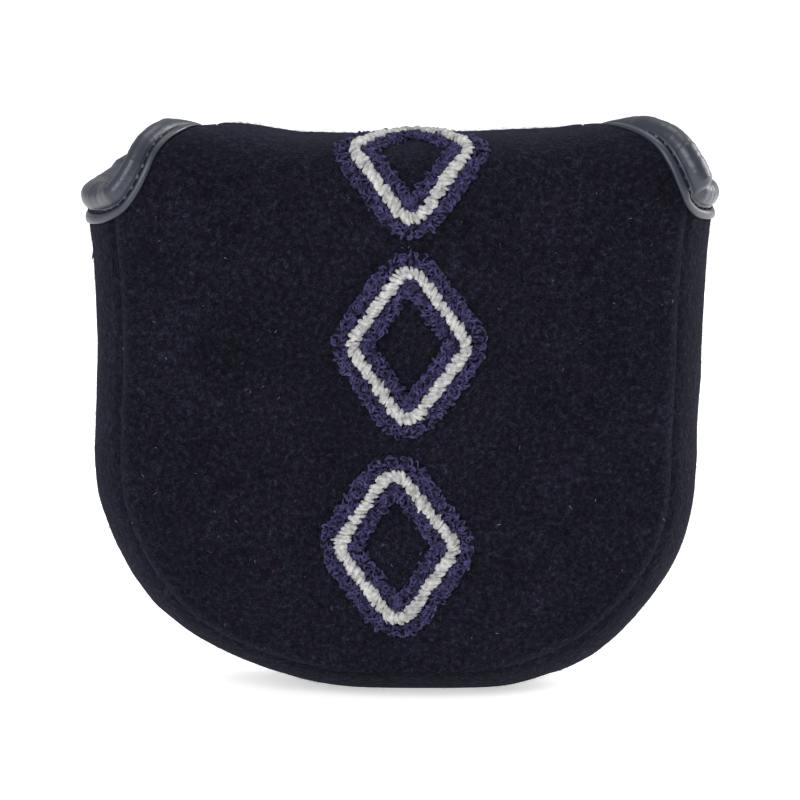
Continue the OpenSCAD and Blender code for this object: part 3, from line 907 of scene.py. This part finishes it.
def binding(name, side, seed):
    centre, along, notch, normal = ears[side]
    count, size = len(centre), len(SECTION)
    run = np.concatenate([[0], np.cumsum(np.linalg.norm(np.diff(centre, axis=0), axis=1))])
    share = run / run[-1]
    taper = binding_size(side, run)
    plump = 1 + 0.04 * np.sin(share * 17 + seed) + 0.03 * np.sin(share * 41 + 2 * seed)
    rings = []
    angle = np.linspace(0, 1, size)
    for k in range(count):
        d, n = SECTION[:, 0].copy(), SECTION[:, 1].copy()
        middle = np.array([4.8, -1.4])
        bend = math.exp(-(((share[k] - 0.30) / 0.09) ** 2)) + 0.8 * math.exp(-(((share[k] - 0.5) / 0.07) ** 2))
        wrinkle = bend * (
            0.045 * np.sin(run[k] * 6.1 + 6.0 * angle + seed) + 0.04 * np.sin(run[k] * 3.7 + 5 * angle + 1.3 * seed)
        ) + 0.05 * noise.noise(Vector((run[k] * 0.5, seed * 3.1, 0.2)))
        local = np.array([noise.noise(Vector((run[k] * 0.5, a * 3.0 + seed, 0.7))) for a in angle])
        gain = IN_ROLL * (wrinkle + 0.12 * local + (plump[k] - 1) * 2)
        away = unit(np.stack([d - middle[0], n - middle[1]], 1))
        d, n = d + away[:, 0] * gain, n + away[:, 1] * gain
        rings.append(centre[k] + taper[k] * (d[:, None] * notch[k] + n[:, None] * normal[k]))
    verts = np.concatenate(rings)
    faces = [tuple(f) for f in grid_faces(count, size, True)]
    for ring, flip in ((0, True), (count - 1, False)):
        middle = verts[ring * size : (ring + 1) * size].mean(0)
        push = along[ring] * (-1.2 if flip else 1.2)
        verts = np.concatenate([verts, [middle + push]])
        tip = len(verts) - 1
        for j in range(size):
            a, b = ring * size + j, ring * size + (j + 1) % size
            faces.append((b, a, tip) if flip else (a, b, tip))
    faces = [f[::-1] for f in faces]
    if side == "left":
        verts = verts * [-1, 1, 1]
        faces = [f[::-1] for f in faces]
    return build(name, verts, faces, leather)


def capsule(pile, a, b, radius, sides=8):
    """A stitch: a short tube with rounded ends."""
    a, b = np.asarray(a, float), np.asarray(b, float)
    d = unit(b - a)
    u = unit(np.cross(d, [0.31, 0.62, 0.72]))
    v = np.cross(d, u)
    length = np.linalg.norm(b - a)
    stations = [(0, 0.35), (0.25, 0.8), (0.6, 1), (1.0, 1)]
    stations += [(length / radius - q, w) for q, w in stations[::-1]]
    turn = np.linspace(0, 2 * math.pi, sides, endpoint=False)
    ring = np.cos(turn)[:, None] * u + np.sin(turn)[:, None] * v
    verts = np.concatenate([a + d * q * radius + ring * w * radius for q, w in stations])
    faces = [tuple(f) for f in grid_faces(len(stations), sides, True)]
    last = (len(stations) - 1) * sides
    faces += [tuple(range(sides))[::-1], tuple(last + i for i in range(sides))]
    pile.add(verts, faces)


def binding_stitches(name, side):
    centre, _, notch, normal = ears[side]
    run = np.concatenate([[0], np.cumsum(np.linalg.norm(np.diff(centre, axis=0), axis=1))])
    size = binding_size(side, run)[:, None]
    groove = (centre + size * (2.08 * notch + 0.26 * normal)) * [-1 if side == "left" else 1, 1, 1]
    pile = Pile()
    for at in np.arange(8.0, run[-1] - 6, 2.7):
        ends = [[np.interp(r, run, groove[:, k]) for k in range(3)] for r in (at, at + 1.9)]
        capsule(pile, ends[0], ends[1], 0.24)
    return pile.build(name, thread)


collars = {side: binding("collar_leather_" + side, side, 1.0 + number) for number, side in enumerate(("right", "left"))}
stitches = {side: binding_stitches("collar_seam_" + side, side) for side in ("right", "left")}


def mouth_strip():
    """Leather folded over the sole panel's mouth edge."""
    x = np.linspace(-TAB_HALF - 0.8, TAB_HALF + 0.8, 120)
    top = MOUTH_TOP + 0.18 * np.sin(x * 0.13) + 0.1 * np.sin(x * 0.31 + 1)
    outer = [(19.9, -5.2), (20.0, -4.6), (19.95, -1.6), (19.6, -0.5), (18.8, 0.0), (17.4, 0.1), (15.6, -0.2), (14.7, -0.9),
             (14.2, -2.0), (14.1, -5.0), (14.3, -5.3)]
    inner = [(14.8, -5.0), (15.0, -2.0), (16.4, -1.0), (18.2, -0.95), (19.15, -1.8), (19.3, -5.0)]
    ring = np.array(outer + inner)
    verts = []
    for k, a in enumerate(x):
        bumpy = 0.05 * math.sin(a * 1.9) + 0.05 * math.sin(a * 3.1 + 1)
        verts.append(np.stack([np.full(len(ring), a), ring[:, 0] + bumpy, top[k] + ring[:, 1]], 1))
    verts = np.concatenate(verts)
    faces = [tuple(f) for f in grid_faces(len(x), len(ring), True)]
    last = (len(x) - 1) * len(ring)
    faces += [tuple(range(len(ring)))[::-1], tuple(last + i for i in range(len(ring)))]
    return build("mouth_leather", verts, faces, leather)


mouth_leather = mouth_strip()

# ---------------------------------------------------------------- threads


def tube(points, radius, sides=6):
    points = np.asarray(points, float)
    d = unit(np.gradient(points, axis=0))
    u = unit(np.cross(d, [0.05, 0.99, 0.11]))
    v = np.cross(d, u)
    turn = np.linspace(0, 2 * math.pi, sides, endpoint=False)
    r = np.broadcast_to(np.asarray(radius, float), (len(points),))
    verts = points[:, None] + r[:, None, None] * (
        np.cos(turn)[None, :, None] * u[:, None] + np.sin(turn)[None, :, None] * v[:, None]
    )
    faces = [tuple(f) for f in grid_faces(len(points), sides, True)]
    last = (len(points) - 1) * sides
    faces += [tuple(range(sides))[::-1], tuple(last + i for i in range(sides))]
    return verts.reshape(-1, 3), faces


def seam_threads(name, side):
    """Stitches down in the seam's groove."""
    route = outline(SEAM_INSET + 0.15, 101.5, 0.5)
    pile = Pile()
    y = side * (HALF_DEPTH - 0.3)
    for k in range(0, len(route) - 6, 7):
        a, b = route[k], route[k + 5]
        capsule(pile, (a[0], y, a[1]), (b[0], y, b[1]), 0.22, 6)
    return pile.build(name, thread)


seam_front = seam_threads("seam_stitches_front", -1)
seam_back = seam_threads("seam_stitches_back", 1)


def tab_topstitch():
    loop = tab_loop(2.6, S_CREST + 12, S_END, 0.5)
    loop = loop[loop[:, 1] > S_BACK - 6]
    order = np.argsort(-np.arctan2(loop[:, 0], loop[:, 1] - (S_END - 30)))
    loop = resample(loop[order], 0.5)
    pile = Pile()
    for k in range(0, len(loop) - 6, 7):
        ends = []
        for q in (loop[k], loop[k + 4]):
            n = normal_of(crown, q[0], q[1])
            ends.append(crown(q[0], q[1]) + 0.05 * n)
        if np.linalg.norm(ends[1] - ends[0]) < 4:
            capsule(pile, ends[0], ends[1], 0.26, 6)
    return pile.build("tab_topstitch", thread)


tab_topstitch_piece = tab_topstitch()

# ---------------------------------------------------------------- chenille diamonds

MOTIFS = {"low": (-0.4, 34.6), "middle": (2.0, 77.3), "top": (2.4, 119.2)}
DIAMOND = (12.6, 17.6, 3.2)


def diamond_route(spacing):
    """A closed diamond with rounded points, and its outward normals."""
    half_w, half_h, radius = DIAMOND
    tips = np.array([[0, half_h], [-half_w, 0], [0, -half_h], [half_w, 0]], float)
    points = []
    for k in range(4):
        tip, before, after = tips[k], tips[k - 1], tips[(k + 1) % 4]
        a, b = unit(before - tip), unit(after - tip)
        middle = unit(a + b)
        half = math.acos(float(np.clip(a @ middle, -1, 1)))
        centre = tip + middle * radius / math.sin(half)
        first, last = tip + a * radius / math.tan(half), tip + b * radius / math.tan(half)
        a0 = math.atan2(*(first - centre)[::-1])
        a1 = math.atan2(*(last - centre)[::-1])
        while a1 < a0:
            a1 += 2 * math.pi
        for a in np.linspace(a0, a1, 14):
            points.append(centre + radius * np.array([math.cos(a), math.sin(a)]))
    closed = np.array(points + points[:1])
    route = resample(closed, spacing)[:-1]
    d = unit(np.roll(route, -1, 0) - np.roll(route, 1, 0))
    return route, np.stack([d[:, 1], -d[:, 0]], 1)


def place(x, s, lift):
    """Points over the crown felt at a height, for arrays of x, s and lift."""
    return skin(x, s) + normal_of(crown, x, s) * np.asarray(lift)[..., None]


LOOP_TURNS = 9
LOOP_SIDES = 5


def yarn_loops(name, middle, seed):
    """A band of looped yarn on each side of the cord."""
    rng = np.random.default_rng(seed)
    route, out = diamond_route(0.74)
    lanes = [-3.75, -3.2, -2.6, -2.05, -1.5, 1.5, 2.05, 2.6, 3.2, 3.75]
    centres, heights = [], []
    for lane in lanes:
        keep = rng.random(len(route)) < 0.97
        shift = rng.uniform(-0.38, 0.38, (len(route), 2))
        p = route + out * lane + shift
        centres.append(p[keep])
        heights.append(rng.uniform(0.15, 1.2, keep.sum()) * (1 - 0.25 * (abs(lane) > 3.5)))
    flat = np.concatenate(centres) + np.array(middle)
    height = np.concatenate(heights)
    base = place(flat[:, 0], flat[:, 1], height)
    n = normal_of(crown, flat[:, 0], flat[:, 1])
    count = len(flat)
    side = unit(np.cross(n, rng.normal(size=(count, 3))))
    other = np.cross(n, side)
    tilt = rng.uniform(0.45, 1.5, count)[:, None]
    rise = unit(other * np.cos(tilt) + n * np.sin(tilt))
    axis = np.cross(side, rise)
    major = rng.uniform(0.42, 0.82, count)[:, None, None]
    minor = rng.uniform(0.2, 0.3, count)[:, None, None, None]
    turns = np.linspace(0, 2 * math.pi, LOOP_TURNS, endpoint=False)
    kink = 1 + 0.34 * np.sin(2 * turns[None, :, None] + rng.uniform(0, 6, count)[:, None, None])
    lift = 0.25 * np.sin(turns[None, :, None] + rng.uniform(0, 6, count)[:, None, None])
    radial = np.cos(turns)[None, :, None] * side[:, None] + np.sin(turns)[None, :, None] * rise[:, None] * 0.85
    line = base[:, None] + major * (radial * kink + lift * axis[:, None])
    around = np.linspace(0, 2 * math.pi, LOOP_SIDES, endpoint=False)
    ring = np.cos(around)[None, None, :, None] * unit(radial)[:, :, None] + (
        np.sin(around)[None, None, :, None] * axis[:, None, None]
    )
    verts = (line[:, :, None] + minor * ring).reshape(-1, 3)
    i, j = np.meshgrid(np.arange(LOOP_TURNS), np.arange(LOOP_SIDES), indexing="ij")
    ni, nj = (i + 1) % LOOP_TURNS, (j + 1) % LOOP_SIDES
    quad = np.stack([i * LOOP_SIDES + j, i * LOOP_SIDES + nj, ni * LOOP_SIDES + nj, ni * LOOP_SIDES + j], -1).reshape(-1, 4)
    faces = (quad[None] + (np.arange(count) * LOOP_TURNS * LOOP_SIDES)[:, None, None]).reshape(-1, 4)
    return build(name, verts, faces, navy_yarn)


def yarn_bed(name, middle):
    """The stitched bed that the loops stand on, in a much darker copy of the loops' yarn: painted shade in the gaps
    between the loops.
    """
    route, out = diamond_route(0.9)
    profile = [(-4.3, -0.1), (-4.1, 0.35), (-3.2, 0.6), (-1.4, 0.55), (0, 0.4), (1.4, 0.55), (3.2, 0.6), (4.1, 0.35),
               (4.3, -0.1), (0, -0.25)]
    rows = []
    for lane, lift in profile:
        reach = lane + 0.25 * np.array([noise.noise(Vector((p[0] * 0.9, p[1] * 0.9, lane))) for p in route])
        q = route + out * reach[:, None] + np.array(middle)
        rows.append(place(q[:, 0], q[:, 1], np.full(len(q), lift)))
    grid = np.array(rows)
    rows_count, columns = grid.shape[:2]
    faces = [tuple(f) for f in grid_faces(rows_count, columns, True)]
    wrap = [(( rows_count - 1) * columns + j, (rows_count - 1) * columns + (j + 1) % columns, (j + 1) % columns, j) for j in range(columns)]
    verts = grid.reshape(-1, 3)
    return build(name, verts, [f[::-1] for f in faces + wrap], navy_bed_painted_shade)


def white_cord(name, middle, seed):
    """A twisted chenille cord: fat strands laid slantwise over a core, with stray tufts."""
    rng = np.random.default_rng(seed)
    pile = Pile()
    route, out = diamond_route(0.5)
    q = route + np.array(middle)
    core = place(q[:, 0], q[:, 1], np.full(len(q), 1.15))
    closed = np.concatenate([core, core[:1]])
    pile.add(*tube(closed, 0.72, 8))
    fine, fine_out = diamond_route(0.05)
    d = unit(np.roll(fine, -1, 0) - np.roll(fine, 1, 0))
    total = len(fine)
    at = 0.0
    while at < total - 6:
        lean_by = rng.uniform(0.2, 1.2)
        width = rng.uniform(0.92, 1.42)
        radius = rng.uniform(0.38, 0.66)
        steps = np.linspace(-1, 1, 9)
        k = (np.round(at + steps * lean_by / 0.05).astype(int)) % total
        offset = steps * width + rng.uniform(-0.12, 0.12)
        p = fine[k] + fine_out[k] * offset[:, None] + np.array(middle)
        lift = 0.7 + np.sqrt(np.maximum(0, 1 - (steps * 0.97) ** 2)) + rng.uniform(-0.2, 0.22)
        line = place(p[:, 0], p[:, 1], lift)
        thick = radius * (0.55 + 0.45 * np.sqrt(np.maximum(0, 1 - steps**4))) * (1 + 0.16 * rng.normal(size=9).clip(-1.5, 1.5))
        pile.add(*tube(line, thick, 7))
        if rng.random() < 0.16:
            end = -1 if rng.random() < 0.5 else 1
            start = line[0] if end < 0 else line[-1]
            tip = start + (line[0] - line[4] if end < 0 else line[-1] - line[4]) * rng.uniform(0.25, 0.6)
            tip = tip + normal_of(crown, p[0, 0], p[0, 1]) * rng.uniform(0.1, 0.5)
            wisp = np.linspace(0, 1, 5)[:, None]
            pile.add(*tube(start + (tip - start) * wisp, np.linspace(0.36, 0.12, 5), 6))
        at += rng.uniform(0.55, 1.05) / 0.05
    return pile.build(name, white_yarn)


# The bed's yarn is the loops' navy darkened several times over: painted shade for the gaps between the loops, not a
# yarn colour of its own.
navy_bed_painted_shade = yarn_material("navy_bed_painted_shade", (0.002, 0.0018, 0.004), (0.007, 0.006, 0.016), 0.02, (0.5, 0.5, 0.95))
motif_pieces = {}
for number, (which, middle) in enumerate(MOTIFS.items()):
    motif_pieces[which] = (
        yarn_loops("motif_%s_loops" % which, middle, 20 + number),
        yarn_bed("motif_%s_bed" % which, middle),
        white_cord("motif_%s_cord_yarn" % which, middle, 30 + number),
    )

# ---------------------------------------------------------------- loose fibres


def fibres(name, surface, n_surface, flat, length, radius, seed, material):
    """Short curved hairs that stand a little off the felt."""
    rng = np.random.default_rng(seed)
    count = len(flat)
    base = surface(flat[:, 0], flat[:, 1])
    n = n_surface(flat[:, 0], flat[:, 1])
    run = unit(np.cross(n, rng.normal(size=(count, 3))))
    bend = np.cross(n, run)
    size = rng.uniform(*length, count)[:, None]
    curl = rng.uniform(-0.6, 0.6, count)[:, None]
    rise = rng.uniform(0.05, 0.5, count)[:, None]
    rows = []
    for k, t in enumerate((0.0, 0.35, 0.7, 1.0)):
        p = base - 0.05 * n + size * (run * t + bend * curl * t * t + n * rise * math.sin(t * 2.2))
        rows.append(p)
    line = np.stack(rows, 1)
    turn = np.linspace(0, 2 * math.pi, 3, endpoint=False)
    ring = np.cos(turn)[None, :, None] * n[:, None] + np.sin(turn)[None, :, None] * bend[:, None]
    girth = np.array([1.0, 0.9, 0.6, 0.15])[None, :, None, None] * radius
    verts = (line[:, :, None] + girth * ring[:, None]).reshape(-1, 3)
    quad = [tuple(f) for f in grid_faces(4, 3, True)] + [(2, 1, 0), (9, 10, 11)]
    faces = []
    for number in range(count):
        faces.extend([tuple(i + 12 * number for i in f) for f in quad])
    return build(name, verts, faces, material)


def scatter(border, count, seed, low=None, high=None):
    rng = np.random.default_rng(seed)
    border = np.asarray(border)
    a, b = border.min(0), border.max(0)
    found = np.zeros((0, 2))
    while len(found) < count:
        p = rng.uniform(a, b, (count * 2, 2))
        p = p[in_polygon(p, border)]
        if low is not None:
            p = p[p[:, 1] > low]
        if high is not None:
            p = p[p[:, 1] < high]
        found = np.concatenate([found, p])
    return found[:count]


def crown_normal(x, s):
    return normal_of(crown, x, s)


area = crown_border(2.5)
fuzz_front = fibres("crown_fuzz", skin, crown_normal, scatter(area, 9000, 41, high=SLIT - 0.5), (0.5, 1.6), 0.026, 42, fuzz)
fuzz_neck = fibres(
    "neck_fuzz", skin, crown_normal, scatter(band_loop(NECK - 0.5, SLIT, S_MIDDLE, 3.0), 1900, 43), (0.7, 1.8), 0.028, 44, fuzz
)
fuzz_tab = fibres(
    "tab_fuzz", crown, crown_normal, scatter(tab_loop(0.8, S_MIDDLE, S_END, 3.0), 2000, 45), (0.7, 1.7), 0.028, 46, fuzz
)


def sole_skin(x, z):
    return sole(x, z) + sole_field.at(x, z)


def sole_normal(x, z):
    return normal_of(sole, x, z, -1.0)


fuzz_sole = fibres("sole_fuzz", sole_skin, sole_normal, scatter(sole_border(3.0), 3600, 47), (0.7, 1.8), 0.028, 48, fuzz)


def gusset_surface(u, t):
    k = np.clip(u, 0, len(rim_outline) - 1.001)
    p = np.stack([np.interp(k, np.arange(len(rim_outline)), rim_outline[:, c]) for c in (0, 1)], -1)
    d = unit(np.gradient(rim_outline, axis=0))
    inward = np.stack([d[:, 1], -d[:, 0]], 1)
    inward *= np.where(((rim_outline - [0, 62]) * inward).sum(1) > 0, -1, 1)[:, None]
    w = np.stack([np.interp(k, np.arange(len(rim_outline)), inward[:, c]) for c in (0, 1)], -1)
    q = p + w * bulge(t)[..., None]
    return np.stack([q[..., 0], t * HALF_DEPTH, np.maximum(q[..., 1], 0)], -1)


def gusset_normal(u, t):
    n = normal_of(lambda a, b: gusset_surface(a * 4, b * 0.05), u / 4, t / 0.05)
    p = gusset_surface(u, t)
    away = ((p - [0, 0, 62]) * n).sum(-1, keepdims=True)
    return n * np.where(away < 0, -1, 1)


rng = np.random.default_rng(51)
spots = np.stack([rng.uniform(1, len(rim_outline) - 2, 3400), rng.uniform(-0.93, 0.93, 3400)], 1)
spots = spots[gusset_surface(spots[:, 0], spots[:, 1])[:, 2] > 1.2]
fuzz_gusset = fibres("gusset_fuzz", gusset_surface, gusset_normal, spots, (0.6, 1.5), 0.028, 52, fuzz)


def lint(name, surface, normals, flat, seed):
    """Specks and short bright hairs caught in the felt."""
    return fibres(name, surface, normals, flat, (0.25, 1.1), 0.045, seed, lint_mix)


lint_shader = Shader("lint")
lint_tone = lint_shader.noise(160.0, 1.0, 0.5)
lint_shader.set(
    Base_Color=lint_shader.ramp(
        lint_tone, (0.36, (0.30, 0.05, 0.03)), (0.45, (0.34, 0.22, 0.14)), (0.56, (0.35, 0.38, 0.45)), (0.66, (0.10, 0.12, 0.2))
    ),
    Roughness=0.85,
)
lint_mix = lint_shader.bump(lint_shader.noise(1500.0, 2.0), 0.05)
crown_lint = lint("crown_lint", skin, crown_normal, scatter(area, 95, 61, high=SLIT - 1), 62)


def loose_thread():
    """A cut thread tail below the left binding."""
    pile = Pile()
    start = np.array([-60.8, -17.2, 102.0])
    line = spline([start, start + [-1.0, -1.0, -1.6], start + [-2.6, -1.4, -4.2], start + [-3.4, -0.6, -7.2]], 24)
    pile.add(*tube(line, 0.13, 6))
    return pile.build("thread_tail", thread)


thread_tail = loose_thread()

# ---------------------------------------------------------------- bodies, nodes and their material slots

for piece in (sole_felt, gusset_felt, pouch_lining, mouth_leather, seam_front, seam_back, thread_tail, crown_lint):
    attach(piece, "pouch")
for piece in (fuzz_front, fuzz_sole, fuzz_gusset, *collars.values(), *stitches.values()):
    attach(piece, "pouch")
for which in ("low", "middle"):
    for piece in motif_pieces[which]:
        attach(piece, "pouch")
for piece in (crown_felt, fuzz_neck, flap_lining_front, *motif_pieces["top"]):
    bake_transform(piece)
for piece in (tab_felt, fuzz_tab, flap_lining_back, tab_topstitch_piece):
    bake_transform(piece)
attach(flap_stiffener, "flap")
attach(tab_stiffener, "tab")

for side in ("left", "right"):
    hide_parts("collar_" + side, "collar_core_" + side)
    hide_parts("collar_stitches_" + side)
for which, (loops, bed, cord) in motif_pieces.items():
    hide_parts("motif_%s_band" % which)
    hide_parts("motif_%s_cord" % which)
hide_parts("motif_fold_band")
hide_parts("motif_fold_cord")
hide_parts("crown_panel", "crown_foam", "flap_felt")
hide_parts("sole_panel", "sole_foam")
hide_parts("gusset", "gusset_foam")
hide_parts("crown_lining", "sole_lining", "gusset_lining")
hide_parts("mouth_binding")
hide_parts("crown_seam_thread")
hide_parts("sole_seam_thread")
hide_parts("tab_felt")
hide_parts("flap_lining")
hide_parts("tab_lining")
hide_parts("flap_board")
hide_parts("tab_board")
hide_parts("tab_stitches")

for node, finish in (("pouch_magnets", magnet), ("tab_magnets", magnet), ("pouch_magnet_cups", board)):
    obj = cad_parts[node]
    for k in range(max(1, len(obj.material_slots))):
        if obj.material_slots:
            obj.material_slots[k].material = finish
        else:
            obj.data.materials.append(finish)

# ---------------------------------------------------------------- floor, light and camera

floor_shader = Shader("floor")
speck = floor_shader.noise(6.0, 2.0)
floor_shader.set(Base_Color=floor_shader.ramp(speck, (0.3, 0.90), (0.7, 0.915)), Roughness=0.9)
floor_shader.set(Emission_Color=(1, 1, 1, 1), Emission_Strength=0.56)
bpy.ops.mesh.primitive_plane_add(size=16, location=(0, 3, 0))
floor = bpy.context.object
floor.name = "floor"
floor.data.materials.append(floor_shader.material)

world = bpy.data.worlds.new("studio")
scene.world = world
world.use_nodes = True
world.node_tree.nodes["Background"].inputs["Color"].default_value = (1, 1, 1, 1)
world.node_tree.nodes["Background"].inputs["Strength"].default_value = 0.55


def area_light(name, where, aim, size, energy):
    data = bpy.data.lights.new(name, "AREA")
    data.shape = "SQUARE"
    data.size = size
    data.energy = energy
    light = bpy.data.objects.new(name, data)
    light.location = where
    light.rotation_euler = (Vector(aim) - Vector(where)).to_track_quat("-Z", "Y").to_euler()
    scene.collection.objects.link(light)


area_light("key", (-0.42, -0.8, 0.6), (0, 0, 0.08), 0.5, 7.0)
area_light("top", (0.1, 0.15, 0.95), (0, 0, 0.1), 0.5, 2.6)
area_light("side", (0.75, 0.35, 0.4), (0, 0, 0.08), 0.5, 7.0)

ELEVATION = math.radians(9.3)
AIM = Vector((0, 0, 0.06204))
camera_data = bpy.data.cameras.new("camera")
camera_data.lens = 189.25
camera_data.sensor_width = 36
camera_data.clip_start = 0.05
camera_data.clip_end = 40
camera = bpy.data.objects.new("camera", camera_data)
camera.location = AIM + 0.9 * Vector((0, -math.cos(ELEVATION), math.sin(ELEVATION)))
camera.rotation_euler = (AIM - camera.location).to_track_quat("-Z", "Y").to_euler()
scene.collection.objects.link(camera)
scene.camera = camera
scene.view_settings.view_transform = "Standard"
